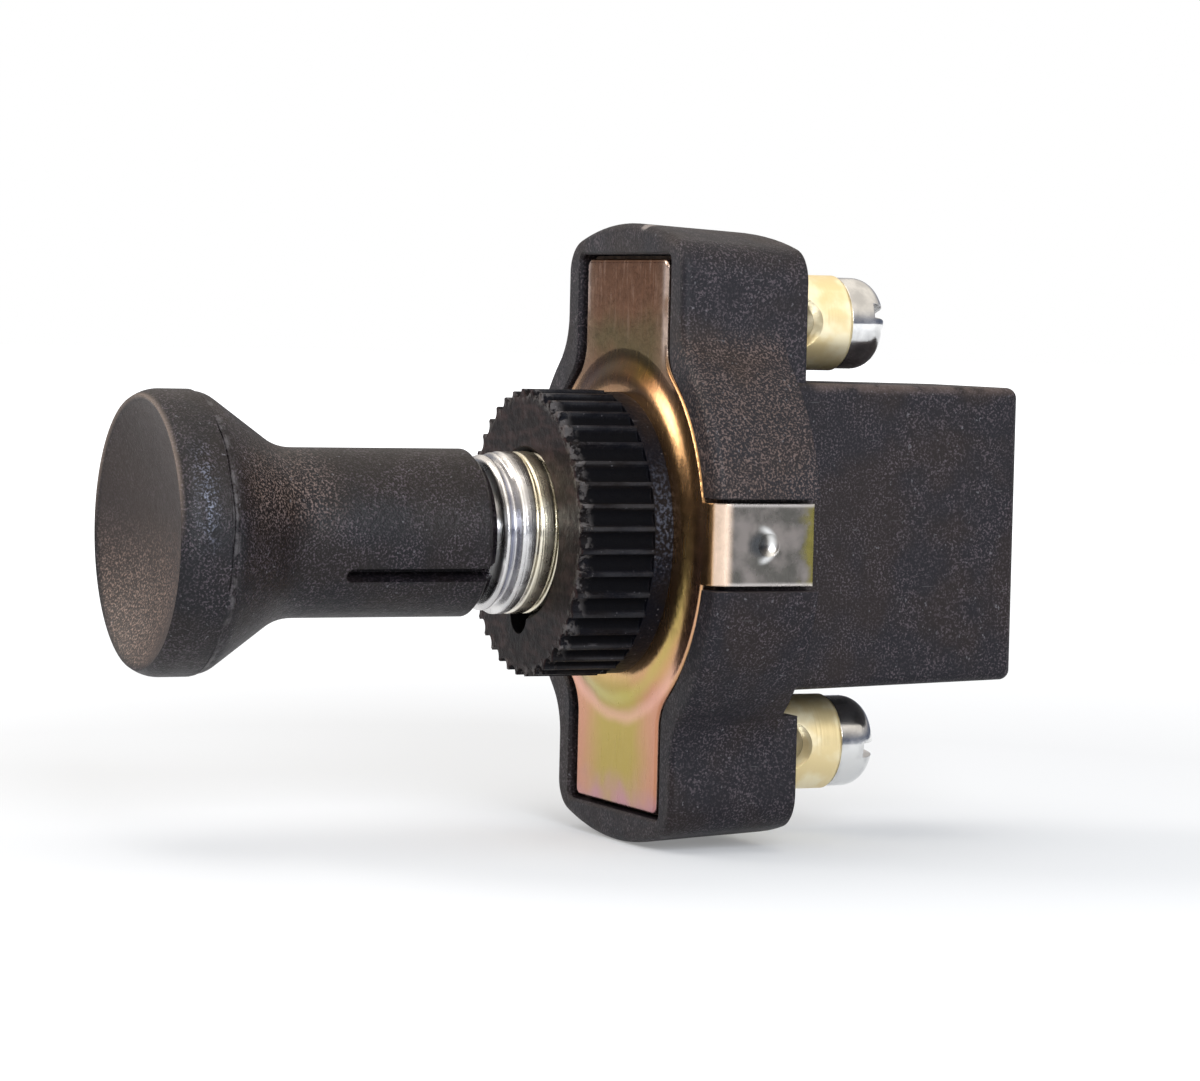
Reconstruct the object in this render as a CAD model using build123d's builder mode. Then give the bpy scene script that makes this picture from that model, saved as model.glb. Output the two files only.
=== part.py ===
from build123d import *
from math import cos, radians, sin, tan
import os

os.makedirs("parts", exist_ok=True)

# Push-pull switch for panel mounting, in millimetres.
# Y is the push-pull axis: the knob is towards -Y, the contact block towards +Y, and Z is up.
# The origin is on the axis, in the plane of the boss that seats against the panel.

# Threaded bush
bush_radius = 6.0
bush_reach = 11.1
bush_lead = 0.7
bush_spigot_radius = 4.8
bush_rivet_radius = 5.9
bush_rivet_thickness = 0.55

# Pull shaft, drawn pushed in
shaft_radius = 3.0
shaft_neck_radius = 2.0
shaft_tip_chamfer = 0.4
shaft_tail = 1.5
shaft_clearance = 0.05
travel = 9.0
stop_clearance = 0.05

# Knob
knob_gap = 0.5
knob_length = 25.5
knob_rim_radius = 10.25
knob_dish_radius = 9.75
knob_dish_depth = 2.9
knob_rim_round = 1.5
knob_band = 3.6
knob_seam_step = 0.14
knob_shoulder_round = 1.6
knob_cone_start = 4.4
knob_cone_length = 5.7
knob_cone_fillet = 4.5
knob_stem_radius = 6.15
knob_stem_nose = 0.85
knob_socket_depth = 19.0
knob_socket_clearance = 0.02
knob_slot_width = 1.1
knob_slot_length = 11.6
knob_slot_depth = 1.5
knob_slot_angle = -27.0

# Snap ring that holds the knob on the shaft
snap_ring_inset = 7.5
snap_ring_thickness = 0.8
snap_ring_inner = 2.45
snap_ring_outer = 3.5
snap_ring_gap_angle = 40.0

# Ring nut
nut_length = 7.25
nut_crest_radius = 10.6
nut_flange_radius = 10.45
nut_flange_length = 1.45
nut_bore_clearance = 0.05
nut_bore_chamfer = 0.35
tooth_count = 40
tooth_groove_radius = 0.72
tooth_circle_radius = 10.76
nut_notch_radius = 1.5
nut_notch_depth = 1.5
nut_notch_angle = -96.0

# Front plate, set inside the housing's outline
plate_thickness = 1.0
plate_round_inset = 3.0
plate_side_inset = 3.2
plate_end_inset = 2.7
plate_blend = 3.0
plate_corner = 0.6
plate_edge_round = 0.25
boss_rise = 0.6
boss_top_radius = 11.0
boss_foot_inset = 0.6
tab_half_width = 2.95
tab_inset = 1.2
tab_end_margin = 0.05
tab_bend = 0.4
stake_radius = 1.2
stake_depth = 0.35
stake_inset = 4.3
stake_pocket_margin = 0.25

# Gasket between plate and housing
gasket_thickness = 0.4
gasket_inset = 0.1
gasket_hole_clearance = 0.3

# Housing
rim_proud = 0.2
rim_gap = 0.35
rim_side_gap = 0.95
rim_round = 0.6
rim_inner_chamfer = 0.2
body_round_radius = 17.3
body_blend = 4.5
lobe_half_width = 10.25
lobe_end_height = 23.0
lobe_crown_radius = 30.0
lobe_end_draft = 3.0
lobe_corner = 2.6
shoulder_depth = 8.1
lobe_depth = 10.1
lobe_rear_round_upper = 1.8
lobe_rear_round_lower = 1.0
lower_root_step = 1.4
tab_slot_clearance = 0.35
tab_floor_clearance = 0.05
block_half_width = 7.0
block_half_height = 11.5
block_length = 22.0
block_side_draft = 0.2
block_top_draft = 0.2
block_underside_draft = 0.65
block_round = 0.8
block_side_wall = 1.8
block_top_wall = 2.1
rear_wall = 1.7

# Terminals
terminal_inset = 7.1
pillar_radius = 3.6
pillar_length = 7.35
pillar_edge = 0.25
pillar_collar = 0.95
pillar_groove_width = 0.25
pillar_groove_depth = 0.2
pillar_spigot_radius = 2.0
pillar_rivet_radius = 2.4
pillar_rivet_thickness = 0.8
wire_hole_radius = 1.95
wire_hole_inset = 2.8
screw_radius = 2.0
screw_bore_clearance = 0.02
screw_bore_floor = 0.6
screw_tip_gap = 0.4
screw_tip_chamfer = 0.4
screw_head_radius = 3.45
screw_head_height = 3.3
screw_head_round = 1.9
screw_slot_width = 1.1
screw_slot_depth = 1.4
screw_slot_angles = {"upper": 18.0, "lower": -8.0}

# Fixed contact strips
strip_thickness = 0.8
strip_half_width = 2.5
strip_end_margin = 0.3
strip_channel_clearance = 0.2
strip_wall_gap = 0.2
strip_rear_margin = 6.5
rivet_head_gap = 0.6
contact_rib_radius = 1.2
contact_rib_sink = 0.3

# Contact drum on the shaft
drum_side_clearance = 0.3
contact_clearance = 0.06
band_thickness = 0.6
band_length = 3.0
band_rear_margin = 1.5
washer_thickness = 0.5
washer_radius = 3.6
circlip_thickness = 0.7
circlip_radius = 3.2
circlip_groove_radius = 1.5
circlip_gap_angle = 70.0

# Detent
ball_radius = 1.5
ball_wall_clearance = 0.08
detent_height = 4.7
detent_inset = 6.0
detent_bore_clearance = 0.06
detent_groove_depth = 0.35
detent_groove_reach = 2.5
spring_wire_radius = 0.2
spring_turns = 5
spring_end_gap = 0.05

# Depths along the axis, from the seat plane backwards
plate_front = boss_rise
plate_back = plate_front + plate_thickness
rim_front = plate_front - rim_proud
floor_depth = plate_back + gasket_thickness
shoulder_back = rim_front + shoulder_depth
lobe_back = rim_front + lobe_depth
block_back = shoulder_back + block_length
cavity_back = block_back - rear_wall
nut_front = -nut_length
knob_back = -bush_reach - knob_gap
knob_front = knob_back - knob_length
drum_front = floor_depth + travel + stop_clearance
shaft_back = cavity_back - stop_clearance
washer_back = shaft_back - shaft_tail - circlip_thickness
drum_back = washer_back - washer_thickness
drum_length = drum_back - drum_front
socket_floor = knob_back - knob_socket_depth
snap_ring_back = knob_back - snap_ring_inset
snap_ring_front = snap_ring_back - snap_ring_thickness
band_back = drum_back - band_rear_margin
band_front = band_back - band_length
contact_depth = band_front + band_length / 2 - travel
rivet_front = floor_depth + rivet_head_gap
strip_front = rivet_front + pillar_rivet_thickness
channel_floor = strip_front + strip_thickness
pillar_back = lobe_back + pillar_length
detent_depth = drum_front + detent_inset
strip_back = cavity_back - strip_rear_margin
tab_end = shoulder_back - tab_end_margin

# Radii, heights and half widths that follow from the sizes above
plate_round_radius = body_round_radius - plate_round_inset
boss_foot_radius = plate_round_radius - boss_foot_inset
plate_lobe_half_width = lobe_half_width - plate_side_inset
plate_half_height = lobe_end_height - plate_end_inset
tab_outer = body_round_radius - tab_inset
terminal_offset = lobe_end_height - terminal_inset
upper_lobe_root = block_half_height
lower_lobe_root = block_half_height + lower_root_step
cavity_half_width = block_half_width - block_side_wall
cavity_half_height = block_half_height - block_top_wall
bush_bore_radius = shaft_radius + shaft_clearance
drum_half_width = cavity_half_width - drum_side_clearance
strip_outer_face = cavity_half_height - strip_wall_gap
strip_inner_face = strip_outer_face - strip_thickness
strip_end = terminal_offset + pillar_rivet_radius + strip_end_margin
contact_rib_centre = strip_inner_face + contact_rib_sink
drum_half_height = contact_rib_centre - contact_rib_radius - contact_clearance
ball_centre = cavity_half_width - ball_wall_clearance - ball_radius
detent_bore_radius = ball_radius + detent_bore_clearance
slot_floor = tab_outer - plate_thickness - tab_floor_clearance
stake_centre = tab_outer + stake_radius - stake_depth
stake_y = plate_front + stake_inset
stake_pocket_radius = stake_radius + stake_pocket_margin


def at_depth(depth):
    """Plane across the axis, seen from the knob, at a depth behind the seat plane."""
    return Plane.XZ.offset(-depth)


def lobed_outline(round_radius, half_width, half_height, blend):
    """Round centre with a straight lobe above and below it, blended where they meet."""
    with BuildSketch() as outline:
        Circle(round_radius)
        Rectangle(2 * half_width, 2 * half_height)
        inner_corners = outline.vertices().filter_by(lambda v: abs(v.Y) < half_height - blend)
        fillet(inner_corners, blend)
    return outline.sketch


def plate_outline(margin, side_margin):
    """The front plate's outline without its tabs, grown by a margin and by another at the lobes' sides."""
    with BuildSketch() as outline:
        add(
            lobed_outline(
                plate_round_radius + margin,
                plate_lobe_half_width + side_margin,
                plate_half_height + margin,
                plate_blend,
            )
        )
        end_corners = outline.vertices().group_by(Axis.Y)
        fillet(end_corners[0] + end_corners[-1], plate_corner)
    return outline.sketch


def along_the_axis(edge):
    """Whether an edge runs mainly along the push-pull axis."""
    direction = edge.tangent_at(0.5)
    return abs(direction.Y) > max(abs(direction.X), abs(direction.Z))


def save(builder, name):
    """Label a finished piece and write it under its node name."""
    builder.part.label = name
    export_step(builder.part, f"parts/{name}.step")


# Housing: lobed moulding with the contact block behind it, open at the front
with BuildPart() as housing:
    with BuildSketch(at_depth(rim_front)):
        add(lobed_outline(body_round_radius, lobe_half_width, lobe_end_height, body_blend))
    extrude(amount=-shoulder_depth)
    with BuildSketch(at_depth(rim_front)):
        with Locations((0, (lobe_end_height + upper_lobe_root) / 2)):
            Rectangle(2 * lobe_half_width, lobe_end_height - upper_lobe_root)
        with Locations((0, -(lobe_end_height + lower_lobe_root) / 2)):
            Rectangle(2 * lobe_half_width, lobe_end_height - lower_lobe_root)
    extrude(amount=-lobe_depth)
    # Crowned ends with draft towards the rear
    with BuildSketch(at_depth(rim_front)):
        with Locations((0, lobe_end_height - lobe_crown_radius)):
            Circle(lobe_crown_radius)
        with Locations((0, lobe_crown_radius - lobe_end_height)):
            Circle(lobe_crown_radius, mode=Mode.INTERSECT)
    extrude(amount=-lobe_depth, taper=lobe_end_draft, mode=Mode.INTERSECT)
    side_edges = housing.edges().filter_by(
        lambda e: along_the_axis(e) and abs(e.center().X) > lobe_half_width / 2
    )
    lobe_corners = side_edges.sort_by(lambda e: abs(e.center().Z))[-4:]
    fillet(lobe_corners, lobe_corner)
    front_rim = housing.faces().sort_by(Axis.Y)[0].edges()
    fillet(front_rim, rim_round)
    # Rear edges of the crowns, rounded more above than below
    rear_height = lobe_end_height - lobe_depth * tan(radians(lobe_end_draft))
    with BuildSketch(Plane.YZ) as side_view:
        with BuildLine():
            Polyline(
                (rim_front, -lobe_end_height),
                (lobe_back, -rear_height),
                (lobe_back, rear_height),
                (rim_front, lobe_end_height),
                close=True,
            )
        make_face()
        fillet(side_view.vertices().sort_by_distance((lobe_back, rear_height))[0], lobe_rear_round_upper)
        fillet(side_view.vertices().sort_by_distance((lobe_back, -rear_height))[0], lobe_rear_round_lower)
    extrude(amount=body_round_radius, both=True, mode=Mode.INTERSECT)
    # Contact block
    with BuildSketch(at_depth(shoulder_back)):
        Rectangle(2 * block_half_width, 2 * block_half_height)
    with BuildSketch(at_depth(block_back)):
        with Locations((0, (block_underside_draft - block_top_draft) / 2)):
            Rectangle(
                2 * (block_half_width - block_side_draft),
                2 * block_half_height - block_top_draft - block_underside_draft,
            )
    loft()
    block_edges = housing.edges().filter_by(lambda e: e.center().Y > lobe_back + block_round)
    fillet(block_edges, block_round)
    # Seat for the gasket and the plate, and the cavity for the mechanism
    with BuildSketch(at_depth(rim_front)):
        add(plate_outline(rim_gap, rim_side_gap))
    extrude(amount=-(floor_depth - rim_front), mode=Mode.SUBTRACT)
    pocket_mouth = housing.faces().sort_by(Axis.Y)[0].inner_wires()[0].edges()
    chamfer(pocket_mouth, rim_inner_chamfer)
    with BuildSketch(at_depth(floor_depth)):
        Rectangle(2 * cavity_half_width, 2 * cavity_half_height)
    extrude(amount=-(cavity_back - floor_depth), mode=Mode.SUBTRACT)
    # Channels for the contact strips and holes for the terminal spigots
    channel_end = strip_end + strip_channel_clearance
    with BuildSketch(at_depth(floor_depth)):
        Rectangle(2 * (strip_half_width + strip_channel_clearance), 2 * channel_end)
    extrude(amount=-(channel_floor - floor_depth), mode=Mode.SUBTRACT)
    with BuildSketch(at_depth(channel_floor)):
        with Locations((0, terminal_offset), (0, -terminal_offset)):
            Circle(pillar_spigot_radius)
    extrude(amount=-(lobe_back - channel_floor), mode=Mode.SUBTRACT)
    # Side slots for the plate's tabs, each with a pocket for the stake
    slot_half_width = tab_half_width + tab_slot_clearance
    with BuildSketch(Plane.XY) as slots:
        for side in (1, -1):
            with Locations((side * slot_floor, rim_front)):
                outwards = (Align.MIN if side > 0 else Align.MAX, Align.MIN)
                Rectangle(body_round_radius, shoulder_depth, align=outwards)
        with Locations((0, rim_front)):
            Rectangle(2 * body_round_radius, floor_depth - rim_front, align=(Align.CENTER, Align.MIN))
    extrude(amount=slot_half_width, both=True, mode=Mode.SUBTRACT)
    pocket_floor = slot_floor - stake_depth
    for side in (Plane.YZ, -Plane.YZ):
        with BuildSketch(side.offset(pocket_floor)):
            with Locations((stake_y, 0)):
                Circle(stake_pocket_radius)
        extrude(amount=body_round_radius, mode=Mode.SUBTRACT)
    # Detent grooves for the pushed-in and the pulled-out position
    groove_centre = cavity_half_width + detent_groove_depth - ball_radius
    with BuildSketch(Plane.XY.offset(detent_height)):
        for depth in (detent_depth, detent_depth - travel):
            with Locations((groove_centre, depth), (-groove_centre, depth)):
                Circle(ball_radius)
    extrude(amount=detent_groove_reach, both=True, mode=Mode.SUBTRACT)
save(housing, "housing")

# Front plate: stamped steel with a drawn boss and two tabs folded back along the housing
with BuildPart() as front_plate:
    with BuildSketch(at_depth(plate_front)):
        add(plate_outline(0, 0))
    extrude(amount=-plate_thickness)
    fillet(front_plate.faces().sort_by(Axis.Y)[0].edges(), plate_edge_round)
    tab_inner = tab_outer - plate_thickness
    with BuildSketch(Plane.XY):
        with BuildLine():
            Polyline(
                (boss_top_radius, plate_front),
                (tab_outer, plate_front),
                (tab_outer, tab_end),
                (tab_inner, tab_end),
                (tab_inner, plate_back),
                (boss_top_radius, plate_back),
                close=True,
            )
        tab_face = make_face()
        outer_bend = tab_face.vertices().group_by(Axis.X)[-1].sort_by(Axis.Y)[0]
        fillet(outer_bend, tab_bend + plate_thickness)
    extrude(amount=tab_half_width, both=True)
    with Locations((stake_centre, stake_y, 0)):
        Sphere(stake_radius + plate_thickness)
    with BuildSketch(Plane.YZ.offset(tab_outer)):
        with Locations((stake_y, 0)):
            Circle(stake_radius + plate_thickness)
    extrude(amount=2 * (stake_radius + plate_thickness), mode=Mode.SUBTRACT)
    with Locations((stake_centre, stake_y, 0)):
        Sphere(stake_radius, mode=Mode.SUBTRACT)
    mirror(about=Plane.YZ)
    with BuildSketch(at_depth(plate_front)):
        Circle(boss_foot_radius)
    extrude(amount=-plate_thickness, mode=Mode.SUBTRACT)
    with BuildSketch(Plane.XY):
        with BuildLine():
            mid = (boss_top_radius + boss_foot_radius) / 2
            Line((bush_spigot_radius, 0), (boss_top_radius, 0))
            Bezier(
                (boss_top_radius, 0), (mid, 0), (mid, plate_front), (boss_foot_radius, plate_front)
            )
            Line((boss_foot_radius, plate_front), (boss_foot_radius, plate_back))
            Bezier(
                (boss_foot_radius, plate_back),
                (mid, plate_back),
                (mid, plate_thickness),
                (boss_top_radius, plate_thickness),
            )
            Polyline(
                (boss_top_radius, plate_thickness),
                (bush_spigot_radius, plate_thickness),
                (bush_spigot_radius, 0),
            )
        make_face()
    revolve(axis=Axis.Y)
save(front_plate, "front_plate")

# Gasket: insulating sheet between the plate and the housing floor
with BuildPart() as gasket:
    with BuildSketch(at_depth(plate_back)):
        add(plate_outline(rim_gap - gasket_inset, rim_side_gap - gasket_inset))
        Circle(bush_rivet_radius + gasket_hole_clearance, mode=Mode.SUBTRACT)
    extrude(amount=-gasket_thickness)
save(gasket, "insulating_gasket")

# Bush: threaded barrel, with a spigot through the plate and a riveted flange behind it
with BuildPart() as bush:
    with BuildSketch(Plane.XY):
        with BuildLine():
            Polyline(
                (bush_bore_radius, -bush_reach),
                (bush_radius - bush_lead, -bush_reach),
                (bush_radius, -bush_reach + bush_lead),
                (bush_radius, 0),
                (bush_spigot_radius, 0),
                (bush_spigot_radius, plate_thickness),
                (bush_rivet_radius, plate_thickness),
                (bush_rivet_radius, plate_thickness + bush_rivet_thickness),
                (bush_bore_radius, plate_thickness + bush_rivet_thickness),
                close=True,
            )
        make_face()
    revolve(axis=Axis.Y)
save(bush, "threaded_bush")

# Ring nut: scalloped grips in front of a plain seating flange
with BuildPart() as ring_nut:
    bore = bush_radius + nut_bore_clearance
    with BuildSketch(Plane.XY):
        with BuildLine():
            Polyline(
                (bore + nut_bore_chamfer, nut_front),
                (nut_crest_radius, nut_front),
                (nut_crest_radius, -nut_flange_length),
                (nut_flange_radius, -nut_flange_length),
                (nut_flange_radius, 0),
                (bore, 0),
                (bore, nut_front + nut_bore_chamfer),
                close=True,
            )
        make_face()
    revolve(axis=Axis.Y)
    with BuildSketch(at_depth(nut_front)):
        with PolarLocations(tooth_circle_radius, tooth_count):
            Circle(tooth_groove_radius)
    extrude(amount=-(nut_length - nut_flange_length), mode=Mode.SUBTRACT)
    with BuildSketch(at_depth(nut_front)):
        with PolarLocations(bore, 1, start_angle=nut_notch_angle):
            Circle(nut_notch_radius)
    extrude(amount=-nut_notch_depth, mode=Mode.SUBTRACT)
save(ring_nut, "ring_nut")

# Knob: dished grip with a moulding seam, a flare and a slotted stem
with BuildPart() as knob:
    seam = knob_front + knob_band
    cone_start = knob_front + knob_cone_start
    cone_end = cone_start + knob_cone_length
    with BuildSketch(Plane.XY) as knob_section:
        with BuildLine():
            dish_floor = knob_front + knob_dish_depth
            flare_radius = knob_rim_radius - knob_seam_step
            rim_start = knob_front + knob_rim_round
            TangentArc((0, dish_floor), (knob_dish_radius, knob_front), tangent=(1, 0))
            TangentArc((knob_rim_radius, rim_start), (knob_dish_radius, knob_front), tangent=(0, -1))
            Polyline(
                (knob_rim_radius, rim_start),
                (knob_rim_radius, seam),
                (flare_radius, seam),
                (flare_radius, cone_start),
                (knob_stem_radius, cone_end),
                (knob_stem_radius, knob_back - knob_stem_nose),
                (knob_stem_radius - knob_stem_nose, knob_back),
                (0, knob_back),
                (0, dish_floor),
            )
        make_face()
        flare_foot = knob_section.vertices().sort_by_distance((knob_stem_radius, cone_end))[0]
        fillet(flare_foot, knob_cone_fillet)
        flare_top = knob_section.vertices().sort_by_distance((flare_radius, cone_start))[0]
        fillet(flare_top, knob_shoulder_round)
    revolve(axis=Axis.Y)
    # Socket for the shaft, with a groove for the snap ring
    with BuildSketch(Plane.XY):
        with Locations((0, socket_floor)):
            Rectangle(
                shaft_radius + knob_socket_clearance,
                knob_socket_depth,
                align=(Align.MIN, Align.MIN),
            )
        with Locations((0, snap_ring_front)):
            Rectangle(
                snap_ring_outer + shaft_clearance,
                snap_ring_thickness,
                align=(Align.MIN, Align.MIN),
            )
    revolve(axis=Axis.Y, mode=Mode.SUBTRACT)
    # Axial slot in the stem, open at the rear
    slot_angle = radians(knob_slot_angle)
    slot_plane = Plane(
        origin=(knob_stem_radius * cos(slot_angle), knob_back, knob_stem_radius * sin(slot_angle)),
        x_dir=(0, -1, 0),
        z_dir=(cos(slot_angle), 0, sin(slot_angle)),
    )
    with BuildSketch(slot_plane):
        with Locations((knob_slot_length / 2 - knob_slot_width, 0)):
            SlotOverall(knob_slot_length + 2 * knob_slot_width, knob_slot_width)
    extrude(amount=-knob_slot_depth, mode=Mode.SUBTRACT)
save(knob, "knob")

# Shaft: chromed rod, necked down for the contact drum and grooved for its two rings
with BuildPart() as shaft:
    with BuildSketch(Plane.XY) as shaft_section:
        with BuildLine():
            Polyline(
                (0, socket_floor),
                (shaft_radius, socket_floor),
                (shaft_radius, drum_front),
                (shaft_neck_radius, drum_front),
                (shaft_neck_radius, shaft_back),
                (0, shaft_back),
                close=True,
            )
        make_face()
        ends = shaft_section.vertices().filter_by(lambda v: v.X > 0)
        chamfer([ends.sort_by(Axis.Y)[0], ends.sort_by(Axis.Y)[-1]], shaft_tip_chamfer)
        with Locations((snap_ring_inner, snap_ring_front)):
            Rectangle(
                shaft_radius, snap_ring_thickness, align=(Align.MIN, Align.MIN), mode=Mode.SUBTRACT
            )
        with Locations((circlip_groove_radius, washer_back)):
            Rectangle(
                shaft_neck_radius, circlip_thickness, align=(Align.MIN, Align.MIN), mode=Mode.SUBTRACT
            )
    revolve(axis=Axis.Y)
save(shaft, "pull_shaft")


def split_ring(inner_radius, outer_radius, front, thickness, gap_angle):
    """Spring ring with a gap, lying across the axis."""
    with BuildPart() as ring:
        with BuildSketch(Plane.XY):
            with Locations((inner_radius, front)):
                Rectangle(outer_radius - inner_radius, thickness, align=(Align.MIN, Align.MIN))
        revolve(axis=Axis.Y, revolution_arc=360 - gap_angle)
    return ring


snap_ring = split_ring(
    snap_ring_inner, snap_ring_outer, snap_ring_front, snap_ring_thickness, snap_ring_gap_angle
)
save(snap_ring, "knob_snap_ring")
circlip = split_ring(
    circlip_groove_radius, circlip_radius, washer_back, circlip_thickness, circlip_gap_angle
)
save(circlip, "drum_circlip")

# Washer between the drum and its circlip
with BuildPart() as washer:
    with BuildSketch(at_depth(drum_back)):
        Circle(washer_radius)
        Circle(shaft_neck_radius, mode=Mode.SUBTRACT)
    extrude(amount=-washer_thickness)
save(washer, "drum_washer")

# Contact drum: insulating slider with a seat for the contact band and a bore for the detent
with BuildPart() as drum:
    with BuildSketch(at_depth(drum_front)):
        Rectangle(2 * drum_half_width, 2 * drum_half_height)
    extrude(amount=-drum_length)
    with BuildSketch(at_depth(band_front)):
        Rectangle(2 * drum_half_width, 2 * drum_half_height)
        Rectangle(
            2 * (drum_half_width - band_thickness),
            2 * (drum_half_height - band_thickness),
            mode=Mode.SUBTRACT,
        )
    extrude(amount=-band_length, mode=Mode.SUBTRACT)
    with BuildSketch(at_depth(drum_front)):
        Circle(shaft_neck_radius)
    extrude(amount=-drum_length, mode=Mode.SUBTRACT)
    with BuildSketch(Plane.YZ):
        with Locations((detent_depth, detent_height)):
            Circle(detent_bore_radius)
    extrude(amount=drum_half_width, both=True, mode=Mode.SUBTRACT)
save(drum, "contact_drum")

# Contact band: brass sleeve round the drum that joins the two contact strips
with BuildPart() as band:
    with BuildSketch(at_depth(band_front)):
        Rectangle(2 * drum_half_width, 2 * drum_half_height)
        Rectangle(
            2 * (drum_half_width - band_thickness),
            2 * (drum_half_height - band_thickness),
            mode=Mode.SUBTRACT,
        )
    extrude(amount=-band_length)
save(band, "contact_band")

# Detent: two balls pressed into the housing's side grooves by a coil spring
for name, side in (("detent_ball_right", 1), ("detent_ball_left", -1)):
    with BuildPart() as ball:
        with Locations((side * ball_centre, detent_depth, detent_height)):
            Sphere(ball_radius)
    save(ball, name)

spring_half_length = ball_centre - ball_radius - spring_end_gap - spring_wire_radius
spring_radius = ball_radius - 2 * spring_wire_radius
with BuildPart() as spring:
    with BuildLine() as coil:
        Helix(
            pitch=2 * spring_half_length / spring_turns,
            height=2 * spring_half_length,
            radius=spring_radius,
            center=(-spring_half_length, detent_depth, detent_height),
            direction=(1, 0, 0),
        )
    with BuildSketch(Plane(origin=coil.line @ 0, z_dir=coil.line % 0)):
        Circle(spring_wire_radius)
    sweep()
save(spring, "detent_spring")

for name, side in (("upper", 1), ("lower", -1)):
    terminal_height = side * terminal_offset
    terminal_axis = Axis((0, 0, terminal_height), (0, 1, 0))

    # Contact strip: bent from the rivet into the cavity, with a pressed contact rib
    with BuildPart() as strip:
        with BuildSketch(Plane.YZ) as strip_section:
            with Locations((strip_front, side * strip_inner_face)):
                toward_end = (Align.MIN, Align.MIN if side > 0 else Align.MAX)
                Rectangle(strip_thickness, strip_end - strip_inner_face, align=toward_end)
                Rectangle(strip_back - strip_front, strip_thickness, align=toward_end)
            with Locations((contact_depth, side * contact_rib_centre)):
                Circle(contact_rib_radius)
            with Locations((contact_depth, side * strip_outer_face)):
                Rectangle(
                    2 * contact_rib_radius,
                    2 * contact_rib_radius,
                    align=(Align.CENTER, Align.MIN if side > 0 else Align.MAX),
                    mode=Mode.SUBTRACT,
                )
            with Locations((contact_depth, side * contact_rib_centre)):
                Circle(contact_rib_radius - strip_thickness, mode=Mode.SUBTRACT)
            bend = strip_section.vertices().sort_by_distance((strip_front, side * strip_inner_face))[0]
            fillet(bend, strip_thickness)
        extrude(amount=strip_half_width, both=True)
        with BuildSketch(at_depth(strip_front)):
            with Locations((0, terminal_height)):
                Circle(pillar_spigot_radius)
        extrude(amount=-strip_thickness, mode=Mode.SUBTRACT)
    save(strip, f"{name}_contact_strip")

    # Terminal pillar: turned brass, riveted through the lobe, with a cross hole for the wire
    with BuildPart() as pillar:
        with BuildSketch(at_depth(lobe_back)):
            with Locations((0, terminal_height)):
                Circle(pillar_radius)
        extrude(amount=-pillar_length)
        chamfer(pillar.edges(), pillar_edge)
        with BuildSketch(at_depth(lobe_back + pillar_collar)):
            with Locations((0, terminal_height)):
                Circle(pillar_radius)
                Circle(pillar_radius - pillar_groove_depth, mode=Mode.SUBTRACT)
        extrude(amount=-pillar_groove_width, mode=Mode.SUBTRACT)
        with BuildSketch(at_depth(strip_front)):
            with Locations((0, terminal_height)):
                Circle(pillar_spigot_radius)
        extrude(amount=-(lobe_back - strip_front))
        with BuildSketch(at_depth(rivet_front)):
            with Locations((0, terminal_height)):
                Circle(pillar_rivet_radius)
        extrude(amount=-pillar_rivet_thickness)
        with BuildSketch(at_depth(pillar_back)):
            with Locations((0, terminal_height)):
                Circle(screw_radius + screw_bore_clearance)
        extrude(amount=pillar_length - screw_bore_floor, mode=Mode.SUBTRACT)
        with BuildSketch(Plane.YZ):
            with Locations((lobe_back + wire_hole_inset, terminal_height)):
                Circle(wire_hole_radius)
        extrude(amount=pillar_radius, both=True, mode=Mode.SUBTRACT)
    save(pillar, f"{name}_terminal_pillar")

    # Terminal screw: domed slotted head, with its shank through the wire hole
    with BuildPart() as screw:
        tip = lobe_back + screw_bore_floor + screw_tip_gap
        with BuildSketch(Plane.XY.offset(terminal_height)) as screw_section:
            with BuildLine():
                Polyline(
                    (0, tip),
                    (screw_radius - screw_tip_chamfer, tip),
                    (screw_radius, tip + screw_tip_chamfer),
                    (screw_radius, pillar_back),
                    (screw_head_radius, pillar_back),
                    (screw_head_radius, pillar_back + screw_head_height),
                    (0, pillar_back + screw_head_height),
                    close=True,
                )
            make_face()
            crown = screw_section.vertices().group_by(Axis.X)[-1].sort_by(Axis.Y)[-1]
            fillet(crown, screw_head_round)
        revolve(axis=terminal_axis)
        slot_floor_depth = pillar_back + screw_head_height - screw_slot_depth
        with BuildSketch(at_depth(slot_floor_depth)):
            with Locations(Location((0, terminal_height), screw_slot_angles[name])):
                Rectangle(2 * screw_head_radius, screw_slot_width)
        extrude(amount=-screw_head_height, mode=Mode.SUBTRACT)
    save(screw, f"{name}_terminal_screw")
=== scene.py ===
from math import cos, pi, radians, sin

import bpy
from mathutils import Matrix, Vector


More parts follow.
